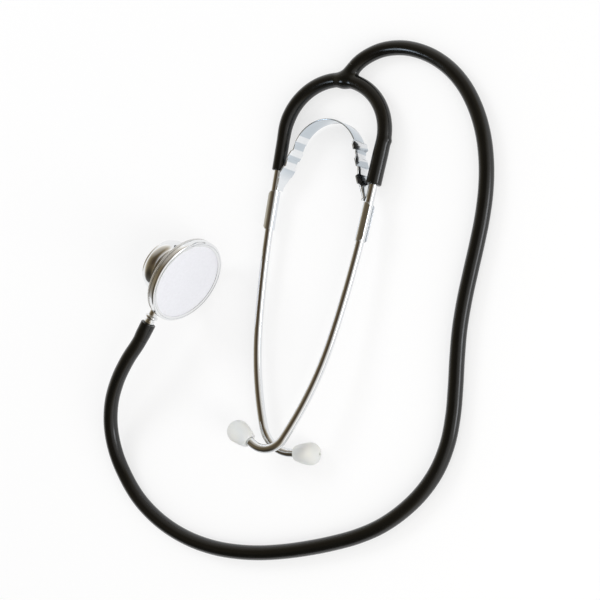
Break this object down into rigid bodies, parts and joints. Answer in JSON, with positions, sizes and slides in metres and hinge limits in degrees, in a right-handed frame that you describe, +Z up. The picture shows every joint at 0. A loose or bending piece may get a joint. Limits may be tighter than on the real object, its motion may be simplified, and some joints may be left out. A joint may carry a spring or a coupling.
{
  "type": "dual head stethoscope",
  "caption": "Dual head stethoscope with a diaphragm and bell chestpiece, long soft tubing, spring headset and round ear tips.",
  "frame": {"origin": "on the table, under the middle of the headset and chestpiece together", "axes": "+Y along the headset from the ear tips to the Y of the tubing, +Z up from the table"},
  "size_m": [0.212, 0.2888, 0.0492],
  "materials": {
    "tubing": "glossy moulded PVC",
    "tube_chrome": "polished plated tube",
    "spring_steel": "plated spring steel",
    "head_chrome": "polished plated casting",
    "diaphragm": "matte resin sheet",
    "ear_tip": "soft translucent",
    "seal": "smooth"
  },
  "bodies": {
    "core": {"y_fork": "tubing", "main_tube": "tubing", "hose_cuff": "tubing", "leaf_spring": "spring_steel", "stem": "head_chrome", "stem_seal": "seal"},
    "left_binaural": {"arm_left": "tubing", "ear_tube_left": "tube_chrome", "spring_clip_left": "spring_steel", "ear_nipple_left": "tube_chrome"},
    "right_binaural": {"arm_right": "tubing", "ear_tube_right": "tube_chrome", "spring_clip_right": "spring_steel", "ear_nipple_right": "tube_chrome"},
    "left_tip": {"ear_tip_left": "ear_tip"},
    "right_tip": {"ear_tip_right": "ear_tip"},
    "head": {"chest_body": "head_chrome", "diaphragm": "diaphragm", "detent_ball": "spring_steel", "detent_spring": "spring_steel", "detent_screw": "spring_steel"},
    "ring": {"retaining_ring": "head_chrome"}
  },
  "joints": [
    {"name": "spread_left", "type": "hinge", "parent": "core", "child": "left_binaural", "pos_m": [0.0175, 0.0682, 0.0061], "axis": [0, 0, -1], "range_deg": [0, 12], "stiffness_Nm_per_rad": 1.5, "deforming": ["arm_left", "leaf_spring"]},
    {"name": "spread_right", "type": "hinge", "parent": "core", "child": "right_binaural", "pos_m": [0.0429, 0.0682, 0.0061], "axis": [0, 0, 1], "range_deg": [0, 35], "stiffness_Nm_per_rad": 1.5, "deforming": ["arm_right", "leaf_spring"]},
    {"name": "tip_turn_left", "type": "hinge", "parent": "left_binaural", "child": "left_tip", "pos_m": [0.05041, -0.10122, 0.00611], "axis": [0.9877, 0.1564, -0.0007], "continuous": true},
    {"name": "tip_turn_right", "type": "hinge", "parent": "right_binaural", "child": "right_tip", "pos_m": [0.01153, -0.09672, 0.01877], "axis": [-0.9063, 0.4214, -0.0319], "continuous": true},
    {"name": "head_turn", "type": "hinge", "parent": "core", "child": "head", "pos_m": [-0.0435, -0.0185, 0.02377], "axis": [-0.3699, -0.9276, -0.0521], "continuous": true},
    {"name": "ring_turn", "type": "hinge", "parent": "head", "child": "ring", "pos_m": [-0.03279, -0.02283, 0.02478], "axis": [0.9237, -0.3732, 0.0872], "continuous": true}
  ]
}
